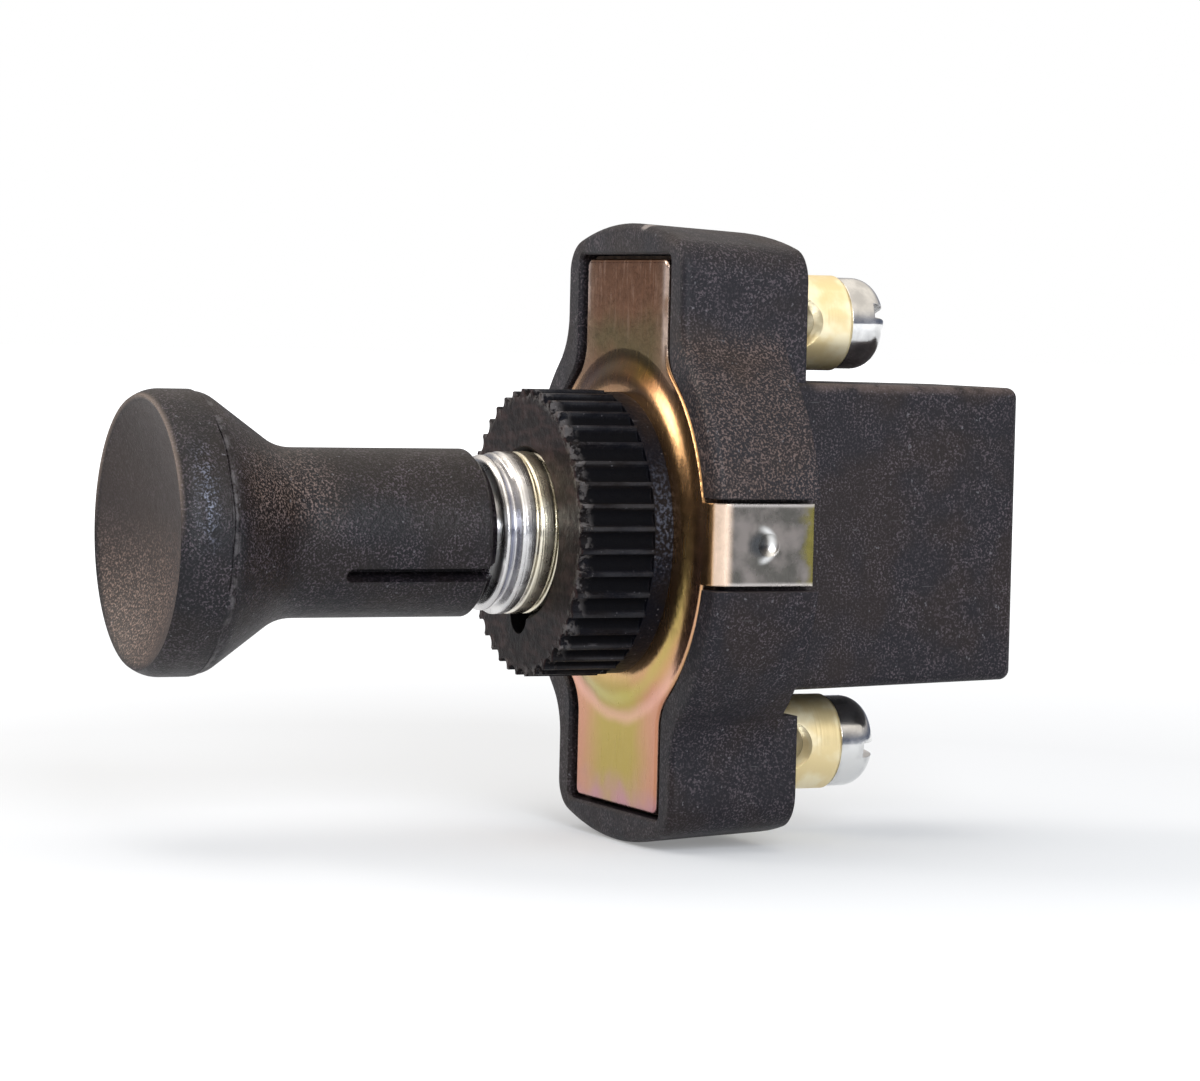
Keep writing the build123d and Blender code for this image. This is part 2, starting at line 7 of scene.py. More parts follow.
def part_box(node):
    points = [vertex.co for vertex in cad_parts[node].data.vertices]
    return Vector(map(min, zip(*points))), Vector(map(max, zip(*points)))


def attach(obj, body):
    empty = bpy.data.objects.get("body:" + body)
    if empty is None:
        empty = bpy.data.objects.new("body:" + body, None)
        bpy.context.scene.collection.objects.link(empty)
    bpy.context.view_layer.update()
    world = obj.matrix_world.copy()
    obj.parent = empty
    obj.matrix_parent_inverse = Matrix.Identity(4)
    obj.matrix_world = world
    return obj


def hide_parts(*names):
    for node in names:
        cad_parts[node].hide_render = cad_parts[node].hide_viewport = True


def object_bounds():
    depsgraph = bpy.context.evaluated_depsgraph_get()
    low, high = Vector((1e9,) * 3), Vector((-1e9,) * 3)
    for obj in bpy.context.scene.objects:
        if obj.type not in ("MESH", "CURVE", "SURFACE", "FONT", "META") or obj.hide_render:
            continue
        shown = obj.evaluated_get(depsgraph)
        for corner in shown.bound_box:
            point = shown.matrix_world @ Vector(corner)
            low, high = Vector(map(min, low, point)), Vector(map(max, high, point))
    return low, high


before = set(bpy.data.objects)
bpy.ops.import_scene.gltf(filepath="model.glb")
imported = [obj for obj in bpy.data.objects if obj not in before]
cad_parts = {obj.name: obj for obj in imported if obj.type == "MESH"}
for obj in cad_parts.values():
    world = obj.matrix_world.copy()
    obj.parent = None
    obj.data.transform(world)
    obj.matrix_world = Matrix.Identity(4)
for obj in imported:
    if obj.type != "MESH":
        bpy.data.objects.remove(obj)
cad_low, cad_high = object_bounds()

MM = 0.001


def depth_range(node):
    """Front and rear of a node along the push-pull axis, in millimetres."""
    low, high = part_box(node)
    return low.y / MM, high.y / MM


bush_front, bush_back = depth_range("threaded_bush")
nut_front, nut_back = depth_range("ring_nut")
knob_front, knob_back = depth_range("knob")
tab_end = depth_range("front_plate")[1]

# Places and radii on the switch that its finishes and its seam refer to, in millimetres
plate_thickness = 1.0
boss_rise = 0.6
boss_slope = 12.2
boss_foot = 13.6
stake_inset = 4.3
stake_centre = (16.1, tab_end - stake_inset, 0.0)
tab_half_width = 2.95
lobe_blend_height = 13.6
block_edge_height = 11.3
crown_chip = (3.1, 0.9, 22.8)
knob_lip_radius = 9.72
seam_depth = knob_front + 3.85
flare_back = -22.5
flange_front = nut_back - 1.5
tooth_crest = 10.5

# Fineness of the grain of moulded plastic
grain_per_mm = 6.2
flecks_per_mm = 3.3
pebbles_per_mm = 1.5
patches_per_mm = 0.17


# Materials


class Finish:
    """A Principled material whose patterns are laid out in millimetres of the switch's own frame."""

    def __init__(self, name, **constants):
        self.material = bpy.data.materials.new(name)
        self.material.use_nodes = True
        self.tree = self.material.node_tree
        self.shader = self.tree.nodes["Principled BSDF"]
        for socket, value in constants.items():
            self.shader.inputs[socket.replace("_", " ")].default_value = value
        coordinates = self.add("ShaderNodeTexCoord").outputs["Object"]
        self.place = self.add("ShaderNodeVectorMath", coordinates, operation="SCALE").outputs[0]
        self.place.node.inputs["Scale"].default_value = 1 / MM
        parts = self.add("ShaderNodeSeparateXYZ", self.place).outputs
        self.x, self.y, self.z = parts["X"], parts["Y"], parts["Z"]

    def add(self, kind, *values, **settings):
        """A node of that kind, with its settings made and its first inputs set or linked in order."""
        node = self.tree.nodes.new(kind)
        for setting, value in settings.items():
            setattr(node, setting, value)
        for socket, value in zip(node.inputs, values):
            self.put(socket, value)
        return node

    def put(self, socket, value):
        """Links an output to the socket, or sets a constant on it."""
        if isinstance(value, bpy.types.NodeSocket):
            self.tree.links.new(value, socket)
        else:
            socket.default_value = value

    def stretched(self, x, y, z):
        """The place with each axis scaled by itself, for streaks and brushed grain."""
        return self.add("ShaderNodeVectorMath", self.place, (x, y, z), operation="MULTIPLY").outputs[0]

    def noise(self, per_mm, detail, place=None):
        """Cloudy noise from 0 to 1, as fine as that many patches to the millimetre."""
        node = self.add("ShaderNodeTexNoise")
        self.put(node.inputs["Vector"], place or self.place)
        self.put(node.inputs["Scale"], per_mm)
        self.put(node.inputs["Detail"], detail)
        return node.outputs["Fac"]

    def rise(self, value, start, end):
        """0 below start, 1 past end and smooth between. It falls instead where start is over end."""
        node = self.add("ShaderNodeMapRange", value, start, end, interpolation_type="SMOOTHSTEP")
        return node.outputs["Result"]

    def hump(self, value, centre, half_width):
        """1 at the centre, 0 a half width away on either side."""
        return self.rise(self.maths("ABSOLUTE", self.maths("SUBTRACT", value, centre)), half_width, 0.0)

    def spot(self, centre, radius, wobble):
        """1 at a place in the switch's frame, 0 a radius away from it, with an uneven outline."""
        away = self.add("ShaderNodeVectorMath", self.place, centre, operation="DISTANCE").outputs["Value"]
        uneven = self.times(self.maths("SUBTRACT", self.noise(1.6 / radius, 3.0), 0.5), wobble * radius)
        return self.rise(self.total(away, uneven), radius, 0.5 * radius)

    def maths(self, operation, *values):
        """The values combined by a Math node's operation."""
        return self.add("ShaderNodeMath", *values, operation=operation).outputs[0]

    def times(self, *values):
        product = values[0]
        for value in values[1:]:
            product = self.maths("MULTIPLY", product, value)
        return product

    def total(self, *values):
        result = values[0]
        for value in values[1:]:
            result = self.maths("ADD", result, value)
        return result

    def inverse(self, value):
        return self.maths("SUBTRACT", 1.0, value)

    def colours(self, factor, first, second):
        """The first colour at 0 and the second at 1. Each may be a colour or an output."""
        node = self.add("ShaderNodeMix", data_type="RGBA")
        self.put(node.inputs[0], factor)
        for socket, colour in zip(node.inputs[6:8], (first, second)):
            self.put(socket, (*colour, 1.0) if isinstance(colour, tuple) else colour)
        return node.outputs[2]

    def coat(self, tone, colour, strength, *masks):
        """Lays a colour over the tone where every mask is 1."""
        return self.colours(self.times(*masks, strength), tone, colour)

    def radius(self):
        """Distance from the push-pull axis."""
        flat = self.add("ShaderNodeVectorMath", self.place, (1, 0, 1), operation="MULTIPLY").outputs[0]
        return self.add("ShaderNodeVectorMath", flat, operation="LENGTH").outputs["Value"]

    def finish(self, colour, roughness, height, edge):
        """Sets the surface. The height is in millimetres, and edge is the radius that edges shade with."""
        self.put(self.shader.inputs["Base Color"], colour)
        self.put(self.shader.inputs["Roughness"], roughness)
        rounded = self.add("ShaderNodeBevel", samples=4)
        rounded.inputs["Radius"].default_value = edge * MM
        bump = self.add("ShaderNodeBump")
        bump.inputs["Strength"].default_value = 1.0
        bump.inputs["Distance"].default_value = MM
        self.put(bump.inputs["Height"], height)
        self.put(bump.inputs["Normal"], rounded.outputs["Normal"])
        self.put(self.shader.inputs["Normal"], bump.outputs["Normal"])
        return self.material


def moulded_plastic(name, cool, warm, grain_tone, grain_height, pebble_height, roughness, shine=0.3):
    """Black plastic with a fine eroded grain, cool and warm patches, pale flecks and hair scratches."""
    fleck_tone, hair_tone = (0.17, 0.165, 0.18), (0.13, 0.125, 0.13)
    skin = Finish(name, Specular_IOR_Level=shine)
    grain = skin.noise(grain_per_mm, 4.0)
    pebbles = skin.noise(pebbles_per_mm, 3.0)
    tone = skin.colours(skin.rise(skin.noise(patches_per_mm, 2.0), 0.4, 0.62), cool, warm)
    strength = skin.total(0.35, skin.times(skin.rise(skin.noise(0.45, 3.0), 0.36, 0.64), 0.55))
    tone = skin.coat(tone, grain_tone, strength, skin.rise(grain, 0.48, 0.68))
    flecks = skin.rise(skin.noise(flecks_per_mm, 1.0), 0.69, 0.74)
    tone = skin.coat(tone, fleck_tone, 0.5, flecks, skin.rise(pebbles, 0.45, 0.6))
    hairs = skin.rise(skin.noise(1.0, 1.0, skin.stretched(6.0, 0.5, 5.0)), 0.74, 0.8)
    tone = skin.coat(tone, hair_tone, 0.3, hairs)
    rough = skin.total(roughness - 0.1, skin.times(pebbles, 0.2))
    height = skin.total(skin.times(grain, grain_height), skin.times(pebbles, pebble_height))
    return skin, grain, tone, rough, height


def housing_finish():
    """The housing: spark-eroded grain, a painted warm highlight on its upper flanks and blends, a painted
    highlight along the block's edge and a pale chip on the crown.
    """
    warm_sheen, rub_and_edge_highlight, chipped = (0.175, 0.118, 0.094), (0.15, 0.11, 0.10), (0.30, 0.26, 0.24)
    skin, grain, tone, rough, height = moulded_plastic(
        "housing_plastic", cool=(0.004, 0.0035, 0.007), warm=(0.009, 0.005, 0.005),
        grain_tone=(0.082, 0.066, 0.076), grain_height=0.05, pebble_height=0.02, roughness=0.55)
    # Painted warm highlight on the upper flank and on the upward-facing blend of the lobes, where light from
    # above falls
    flank = skin.times(skin.rise(skin.x, 9.5, 13.0), skin.rise(skin.z, 2.5, 4.0),
                       skin.rise(skin.z, 15.0, 12.5))
    blend = skin.times(skin.rise(skin.x, 8.0, 10.0), skin.hump(skin.z, lobe_blend_height, 2.2))
    before_block = skin.rise(skin.y, 9.6, 7.5)
    tone = skin.coat(tone, warm_sheen, 0.55,
                     skin.maths("MAXIMUM", flank, blend), before_block, skin.rise(grain, 0.46, 0.70))
    # Painted highlight along the block's top edge, where the edge catches the light, broken up by noise
    block_side = skin.times(skin.rise(skin.y, 12.5, 13.5), skin.rise(skin.x, 5.0, 6.5))
    tone = skin.coat(tone, rub_and_edge_highlight, 0.4,
                     block_side, skin.hump(skin.z, block_edge_height, 0.8),
                     skin.rise(skin.noise(0.7, 3.0), 0.34, 0.56))
    tone = skin.coat(tone, chipped, 0.8, skin.spot(crown_chip, 0.75, 0.8))
    return skin.finish(tone, rough, height, 0.16)


def knob_finish():
    """The knob: pebbled grain, a duller dish with a painted warm highlight low in it, a pale upper lip, a worn
    seam, a painted warm highlight on its flare, a painted bluish reflection on its band and a polished nose.
    """
    pale_lip, dull_dish, dish_sheen = (0.26, 0.20, 0.165), (0.055, 0.040, 0.035), (0.38, 0.26, 0.205)
    warm_sheen, blue_reflection, seam_tone = (0.22, 0.155, 0.125), (0.23, 0.26, 0.34), (0.15, 0.14, 0.145)
    skin, grain, tone, rough, height = moulded_plastic(
        "knob_plastic", cool=(0.002, 0.002, 0.004), warm=(0.005, 0.003, 0.003),
        grain_tone=(0.078, 0.062, 0.074), grain_height=0.04, pebble_height=0.06, roughness=0.5)
    speckle = skin.rise(grain, 0.46, 0.70)
    # Paler on the upper side of the dish's lip
    lip = skin.times(skin.hump(skin.radius(), knob_lip_radius, 0.3),
                     skin.rise(skin.y, knob_front + 0.6, knob_front + 0.2))
    tone = skin.coat(tone, pale_lip, 0.6, lip, skin.rise(skin.z, -1.0, 5.0))
    dish = skin.times(skin.rise(skin.radius(), 9.7, 9.2), skin.rise(skin.y, knob_front + 3.5, knob_front + 2.9))
    tone = skin.coat(tone, dull_dish, 0.55, dish)
    # Painted warm highlight low in the dish, on the part that faces up towards the light
    tone = skin.coat(tone, dish_sheen, 0.7,
                     dish, speckle, skin.rise(skin.z, 2.0, -5.5), skin.rise(skin.x, 5.0, -1.0))
    # Painted warm highlight on the upper flare, where light from above and behind falls
    flare = skin.times(skin.rise(skin.y, seam_depth + 0.6, seam_depth + 3.0),
                       skin.rise(skin.y, flare_back, flare_back - 3.5))
    tone = skin.coat(tone, warm_sheen, 0.7, flare, skin.hump(skin.z, 3.6, 4.4), speckle)
    # Painted bluish reflection on the band, at mid-height on the side facing the bluish side lamp
    band = skin.times(skin.hump(skin.y, knob_front + 1.9, 1.3), skin.hump(skin.z, 2.8, 4.8))
    band = skin.times(band, skin.rise(skin.radius(), 9.5, 9.9), skin.rise(skin.x, 0.0, 4.0))
    tone = skin.coat(tone, blue_reflection, 0.75, band, speckle, skin.rise(skin.noise(1.7, 3.0), 0.32, 0.6))
    seam = skin.times(skin.hump(skin.y, seam_depth + 0.1, 0.4), skin.rise(skin.radius(), 8.6, 9.2))
    tone = skin.coat(tone, seam_tone, 0.4, seam, skin.rise(skin.noise(1.4, 3.0), 0.42, 0.6))
    nose = skin.rise(skin.y, knob_back - 0.75, knob_back - 0.4)
    rough = skin.times(rough, skin.inverse(skin.times(nose, 0.75)))
    height = skin.times(height, skin.inverse(skin.times(nose, 0.9)))
    return skin.finish(tone, rough, height, 0.12)


def nut_finish():
    """The ring nut: painted shade between its teeth, worn crests with a painted highlight, chewed front corners,
    painted shade in a recess below the bore and a painted bluish reflection on its flange.
    """
    groove_shade, crest_wear_and_highlight, recess_shade = (0.002, 0.002, 0.003), (0.09, 0.09, 0.095), (0.003, 0.0025, 0.003)
    chewed_tone, flange_reflection = (0.26, 0.24, 0.235), (0.12, 0.135, 0.18)
    skin, _, tone, rough, height = moulded_plastic(
        "nut_plastic", cool=(0.0025, 0.003, 0.006), warm=(0.006, 0.0045, 0.0045),
        grain_tone=(0.015, 0.0135, 0.016), grain_height=0.02, pebble_height=0.06, roughness=0.45, shine=0.08)
    before_flange = skin.rise(skin.y, flange_front + 0.1, flange_front - 0.1)
    # Painted shade: near-black between the teeth, where the grooves lie in shade
    grooves = skin.times(skin.rise(skin.radius(), tooth_crest, tooth_crest - 0.3),
                         skin.rise(skin.radius(), 9.7, 10.0))
    grooves = skin.times(grooves, skin.rise(skin.y, nut_front + 0.5, nut_front + 1.0), before_flange)
    tone = skin.colours(grooves, tone, groove_shade)
    rough = skin.total(rough, skin.times(grooves, 0.35))
    # Worn crests, lightened also as a painted highlight where the ridges catch the light
    crest = skin.times(skin.rise(skin.radius(), tooth_crest - 0.15, tooth_crest), before_flange)
    worn = skin.rise(skin.noise(0.8, 3.0, skin.stretched(1.0, 0.35, 1.0)), 0.34, 0.64)
    tone = skin.coat(tone, crest_wear_and_highlight, 0.22, crest, worn)
    face = skin.rise(skin.y, nut_front + 0.15, nut_front + 0.03)
    streaks = skin.rise(skin.noise(1.0, 3.0, skin.stretched(0.5, 1.0, 1.6)), 0.4, 0.68)
    face_tone = skin.colours(streaks, (0.008, 0.004, 0.004), (0.036, 0.020, 0.019))
    tone = skin.coat(tone, face_tone, 0.85, face)
    # Painted shade: a near-black patch standing in for a recess below the bore
    tone = skin.coat(tone, recess_shade, 0.9, skin.spot((-1.0, nut_front, -6.6), 2.6, 0.5))
    corners = skin.times(skin.rise(skin.y, nut_front + 1.3, nut_front + 0.3),
                         skin.rise(skin.radius(), 9.6, 10.2))
    chewed = skin.times(corners, skin.rise(skin.noise(1.5, 3.0), 0.47, 0.58))
    tone = skin.coat(tone, chewed_tone, 0.32, chewed)
    # Painted bluish reflection on the flange, on the side facing the bluish side lamp
    flange = skin.times(skin.rise(skin.y, flange_front, flange_front + 0.2), skin.rise(skin.x, 7.5, 9.5))
    tone = skin.coat(tone, flange_reflection, 0.45,
                     flange, skin.hump(skin.z, 1.5, 6.0), skin.rise(skin.noise(4.0, 4.0), 0.44, 0.66))
    height = skin.total(height, skin.times(chewed, 0.12))
    return skin.finish(tone, rough, height, 0.1)


def passivated_finish():
    """Yellow-passivated zinc on the drawn plate: iridescent bands along it, stained on the bent tabs."""
    umber, olive, gold = (0.175, 0.062, 0.014), (0.105, 0.062, 0.005), (0.64, 0.37, 0.17)
    lime, salmon, mauve = (0.43, 0.32, 0.060), (0.56, 0.26, 0.155), (0.48, 0.24, 0.26)
    brown_edge, coral, moss = (0.26, 0.145, 0.08), (0.78, 0.42, 0.34), (0.55, 0.50, 0.12)
    brushed, rub_and_edge_highlight, bare_edge = (0.46, 0.30, 0.22), (0.85, 0.66, 0.55), (0.90, 0.76, 0.66)
    metal = Finish("passivated_steel", Metallic=1.0)
    brush = metal.noise(3.0, 4.0, metal.stretched(1.0, 1.0, 0.14))
    cloud = metal.noise(0.2, 3.0)
    drift = metal.times(metal.maths("SUBTRACT", cloud, 0.5), 8.0)
    side = metal.maths("ABSOLUTE", metal.x)
    along = metal.total(metal.z, drift)
    across = metal.total(side, metal.times(drift, 0.4))
    around = metal.total(metal.radius(), metal.times(drift, 0.15))
    upper = metal.colours(metal.hump(along, 13.8, 3.8), umber, olive)
    upper = metal.coat(upper, brown_edge, 0.6, metal.rise(side, 4.5, 7.0))
    lower = metal.colours(metal.rise(across, 2.0, 6.8), lime, salmon)
    lower = metal.colours(metal.rise(along, -17.5, -20.8), lower, mauve)
    tone = metal.colours(metal.rise(metal.z, -9.5, -12.0), gold, lower)
    tone = metal.colours(metal.rise(metal.z, 8.5, 12.0), tone, upper)
    tone = metal.coat(tone, coral, 0.6, metal.hump(around, boss_foot, 0.9), metal.rise(metal.z, 4.0, -5.0))
    tone = metal.coat(tone, moss, 0.5, metal.hump(around, boss_slope, 0.8), metal.rise(metal.z, 4.0, -6.0))
    tone = metal.coat(tone, brushed, 0.4, metal.rise(brush, 0.5, 0.76), metal.rise(metal.z, 12.5, 19.5))
    rub = metal.times(metal.rise(side, 6.1, 6.9), metal.rise(metal.z, 12.0, 15.0))
    tone = metal.coat(tone, rub_and_edge_highlight, 0.7, rub, metal.rise(cloud, 0.4, 0.55))
    cut_edge = metal.rise(metal.y, boss_rise + 0.1, boss_rise + 0.3)
    tone = metal.coat(tone, bare_edge, 0.6, cut_edge)
    plate_back = boss_rise + plate_thickness
    tab = metal.times(metal.rise(metal.y, plate_back - 0.2, plate_back + 0.6), metal.rise(side, 15.0, 15.6))
    stain = metal.rise(metal.noise(0.55, 4.0), 0.36, 0.66)
    tone = metal.colours(tab, tone, tab_tones(metal, stain))
    rough = metal.total(0.17, metal.times(brush, 0.16), metal.times(tab, stain, 0.10))
    height = metal.total(metal.times(brush, 0.007), metal.times(metal.noise(1.0, 3.0), 0.013))
    return metal.finish(tone, rough, height, 0.14)


def tab_tones(metal, stain):
    """Colours of a bent tab: grey stains, a dark dent with a bright crescent, a yellow end and bare edges."""
    dent, crescent = (0.07, 0.073, 0.077), (0.90, 0.90, 0.88)
    sulphur, edge = (0.22, 0.19, 0.045), (0.90, 0.84, 0.80)
    tone = metal.colours(stain, (0.115, 0.11, 0.10), (0.255, 0.23, 0.215))
    either_side = metal.add("ShaderNodeVectorMath", metal.place, operation="ABSOLUTE").outputs[0]
    away = metal.add("ShaderNodeVectorMath", either_side, stake_centre, operation="DISTANCE").outputs["Value"]
    tone = metal.colours(metal.rise(away, 1.2, 0.4), tone, dent)
    rear_side = metal.rise(metal.y, stake_centre[1] - 0.3, stake_centre[1] + 0.6)
    tone = metal.coat(tone, crescent, 0.8, metal.hump(away, 1.15, 0.4), rear_side)
    near_end = metal.rise(metal.total(metal.y, metal.times(stain, -0.9)), tab_end - 1.5, tab_end - 0.4)
    tone = metal.coat(tone, sulphur, 0.85, near_end)
    return metal.coat(tone, edge, 0.7, metal.hump(metal.maths("ABSOLUTE", metal.z), tab_half_width, 0.35))


def turned_metal(name, tone_low, tone_high, roughness, ring_pitch, metallic=1.0):
    """Bright metal turned about the push-pull direction: fine rings, with tarnish in clouds."""
    metal = Finish(name, Metallic=metallic)
    tarnish = metal.rise(metal.noise(0.5, 3.0), 0.38, 0.66)
    tone = metal.colours(tarnish, tone_low, tone_high)
    rings = metal.noise(1.0, 1.0, metal.stretched(0.03, 1 / ring_pitch, 0.03))
    rough = metal.total(roughness, metal.times(tarnish, 0.08))
    height = metal.total(metal.times(rings, 0.014), metal.times(metal.noise(2.5, 2.0), 0.006))
    return metal, tone, rough, height


def plain_metal(name, tone_low, tone_high, **settings):
    """Turned metal with nothing laid over it."""
    metal, tone, rough, height = turned_metal(name, tone_low, tone_high, **settings)
    return metal.finish(tone, rough, height, 0.1)


def bush_finish():
    """Bright zinc on the bush, yellower towards the nut and dark in the relief behind its lip."""
    yellow, shadow_blue = (0.88, 0.80, 0.58), (0.07, 0.085, 0.17)
    metal, tone, rough, height = turned_metal(
        "bush_plating", (0.62, 0.61, 0.61), (0.79, 0.78, 0.77), roughness=0.24, ring_pitch=0.12)
    drift = metal.times(metal.noise(0.5, 2.0), 0.8)
    tone = metal.coat(tone, yellow, 0.7,
                      metal.rise(metal.total(metal.y, drift), bush_front + 2.4, bush_front + 3.2))
    tone = metal.coat(tone, shadow_blue, 0.75, metal.hump(metal.y, bush_front + 0.74, 0.42))
    return metal.finish(tone, rough, height, 0.1)


def fibre_finish():
    """Pressed gasket board: warm grey-brown with long pale fibres."""
    board = Finish("gasket_fibre")
    strands = board.noise(2.2, 4.0, board.stretched(1.0, 1.0, 0.25))
    tone = board.colours(board.rise(strands, 0.35, 0.7), (0.05, 0.03, 0.02), (0.12, 0.085, 0.06))
    return board.finish(tone, board.total(0.75, board.times(strands, 0.2)), board.times(strands, 0.03), 0.05)


def drum_finish():
    """Unpigmented moulding compound of the contact drum."""
    skin, _, tone, rough, height = moulded_plastic(
        "drum_plastic", cool=(0.16, 0.13, 0.10), warm=(0.24, 0.20, 0.16),
        grain_tone=(0.34, 0.30, 0.26), grain_height=0.01, pebble_height=0.02, roughness=0.5)
    return skin.finish(tone, rough, height, 0.1)


finishes = {
    "housing_plastic": housing_finish(),
    "knob_plastic": knob_finish(),
    "nut_plastic": nut_finish(),
    "drum_plastic": drum_finish(),
    "passivated_steel": passivated_finish(),
    "bush_plating": bush_finish(),
    "shaft_chrome": plain_metal(
        "shaft_chrome", (0.60, 0.60, 0.60), (0.74, 0.74, 0.75), roughness=0.14, ring_pitch=0.1),
    "contact_brass": plain_metal(
        "contact_brass", (0.62, 0.44, 0.18), (0.80, 0.62, 0.32), roughness=0.28, ring_pitch=0.2),
    "terminal_brass": plain_metal(
        "terminal_brass", (0.86, 0.70, 0.38), (0.96, 0.86, 0.60), roughness=0.42, ring_pitch=0.16, metallic=0.7),
    "screw_plating": plain_metal(
        "screw_plating", (0.60, 0.60, 0.60), (0.84, 0.84, 0.83), roughness=0.13, ring_pitch=0.14),
    "spring_steel": plain_metal(
        "spring_steel", (0.42, 0.42, 0.42), (0.58, 0.58, 0.57), roughness=0.3, ring_pitch=0.1),
    "gasket_fibre": fibre_finish(),
}

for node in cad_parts.values():
    for material_slot in node.material_slots:
        material_slot.material = finishes[material_slot.material.name.split(".")[0]]


# Threaded bush and the knob's mould seam


def add_object(name, data):
    """An object with that data, linked to the scene."""
    thing = bpy.data.objects.new(name, data)
    bpy.context.collection.objects.link(thing)
    return thing


def lathe(name, rings, segments, material):
    """A closed shape turned about the push-pull axis. Each ring is a function from angle to (radius, depth)."""
    vertices, faces = [], []
    for ring in rings:
        for step in range(segments):
            angle = 2 * pi * step / segments
            radius, depth = ring(angle)
            vertices.append((radius * cos(angle) * MM, depth * MM, radius * sin(angle) * MM))
    for row in range(len(rings)):
        following = (row + 1) % len(rings)
        for step in range(segments):
            beside = (step + 1) % segments
            faces.append((row * segments + step, row * segments + beside,
                          following * segments + beside, following * segments + step))
    mesh = bpy.data.meshes.new(name)
    mesh.from_pydata(vertices, [], faces)
    mesh.materials.append(material)
    mesh.polygons.foreach_set("use_smooth", [True] * len(mesh.polygons))
    mesh.update()
    return add_object(name, mesh)


# Turned form of the bush, in millimetres
thread_pitch = 1.45
thread_crest = 5.99
groove_depth = 0.3
groove_half_width = 0.2
bush_bore = 3.06
lip_radius = 5.7
lip_length = 0.42
relief_radius = 5.2
relief_length = 0.62
relief_entry = 0.16
relief_exit = 0.26
thread_end = 0.3
thread_lead = 0.02
thread_early = 0.2
thread_run_in = 0.5
thread_run_out = 0.6
thread_rows = 200
crown_drop = 0.06
lip_bevel = 0.25
bore_chamfer = 0.25
face_chamfer = 0.45
seat_depth = 0.6
seat_step = 0.01
spigot_radius = 4.78
rivet_radius = 5.86
rivet_thickness = 0.5
bush_segments = 144
plate_rear = bush_back - rivet_thickness
thread_front = bush_front + thread_lead
thread_start = bush_front + lip_length + relief_length


def smooth(value):
    """0 up to 0, 1 from 1 on and smooth between."""
    value = min(1.0, max(0.0, value))
    return value * value * (3 - 2 * value)


def thread_ring(depth):
    """One ring of the thread: broad rounded crests and narrow grooves on a helix, behind a relief and a lip."""
    def place(angle):
        turn = (depth - thread_start) / thread_pitch - angle / (2 * pi)
        away = abs(turn - round(turn)) * thread_pitch
        groove = 1 - smooth(away / groove_half_width)
        crown = crown_drop * (2 * away / thread_pitch - 1) ** 2
        run_out = smooth((thread_end - depth) / thread_run_out)
        fade = run_out * smooth((depth - thread_start + thread_early) / thread_run_in)
        radius = thread_crest - fade * (groove_depth * groove + crown)
        into_relief = smooth((depth - bush_front - lip_length) / relief_entry)
        out_of_relief = smooth((depth - thread_start) / relief_exit)
        lip = lip_radius - lip_bevel * (1 - smooth((depth - bush_front) / lip_bevel))
        lead = lip + (relief_radius - lip) * into_relief
        return lead + (radius - lead) * out_of_relief, depth
    return place


def plain_ring(radius, depth):
    """A round ring."""
    return lambda angle: (radius, depth)


thread_step = (thread_end - thread_front) / thread_rows
bush_rings = [plain_ring(bush_bore + bore_chamfer, bush_front),
              plain_ring(lip_radius - face_chamfer, bush_front)]
bush_rings += [thread_ring(thread_front + thread_step * row) for row in range(thread_rows)]
bush_rings += [plain_ring(thread_crest, seat_depth - seat_step), plain_ring(spigot_radius, seat_depth),
               plain_ring(spigot_radius, plate_rear), plain_ring(rivet_radius, plate_rear),
               plain_ring(rivet_radius, bush_back), plain_ring(bush_bore, bush_back),
               plain_ring(bush_bore, bush_front + bore_chamfer)]
bush = lathe("bush_with_thread", bush_rings, bush_segments, finishes["bush_plating"])
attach(bush, "switch_body")
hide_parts("threaded_bush")

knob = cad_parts["knob"]
knob_space = knob.matrix_world.inverted()
nick_angle = radians(-27.0)
nick_reach = 0.16
nick_spread = 1.8
nick_height = 1.6
seam_least = 0.35
ray_start = 0.02
seam_segments = 240

# Corners of the seam flash's section: offset along the axis and height above the knob, in millimetres
seam_section = ((-0.24, -0.03), (-0.02, 0.13), (0.14, 0.05), (0.26, -0.03), (0.05, -0.2))


def knob_radius(angle, depth):
    """Radius of the knob's outside at an angle and depth, in millimetres."""
    outward = Vector((cos(angle), 0.0, sin(angle)))
    start = knob_space @ (Vector((0.0, depth, 0.0)) * MM + outward * ray_start)
    place = knob.matrix_world @ knob.ray_cast(start, knob_space.to_3x3() @ -outward)[1]
    return Vector((place.x, place.z)).length / MM


def seam_ring(offset, proud):
    """One corner of the flash's section, taken round the knob. It wanders a little and swells at the nick."""
    def place(angle):
        turned = (angle - nick_angle + pi) % (2 * pi) - pi
        nick = smooth(1 - abs(turned) / nick_reach)
        uneven = 0.5 + 0.3 * sin(7 * angle) + 0.2 * sin(19 * angle + 1.0)
        wander = 0.10 * sin(3 * angle + 0.6) + 0.05 * sin(11 * angle)
        depth = seam_depth + wander + offset * (1 + nick_spread * nick)
        share = seam_least + (1 - seam_least) * uneven + nick_height * nick
        return knob_radius(angle, depth) + proud * share, depth
    return place


seam = lathe("knob_mould_seam", [seam_ring(offset, proud) for offset, proud in seam_section],
             seam_segments, finishes["knob_plastic"])
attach(seam, "plunger")


# Stage


def seen_directly(tree):
    """1 for rays that show a surface to the camera, also by way of gloss or glass."""
    paths = tree.nodes.new("ShaderNodeLightPath").outputs
    seen = paths["Is Camera Ray"]
    for other in ("Is Glossy Ray", "Is Transmission Ray"):
        either = tree.nodes.new("ShaderNodeMath")
        either.operation = "MAXIMUM"
        tree.links.new(seen, either.inputs[0])
        tree.links.new(paths[other], either.inputs[1])
        seen = either.outputs[0]
    return seen


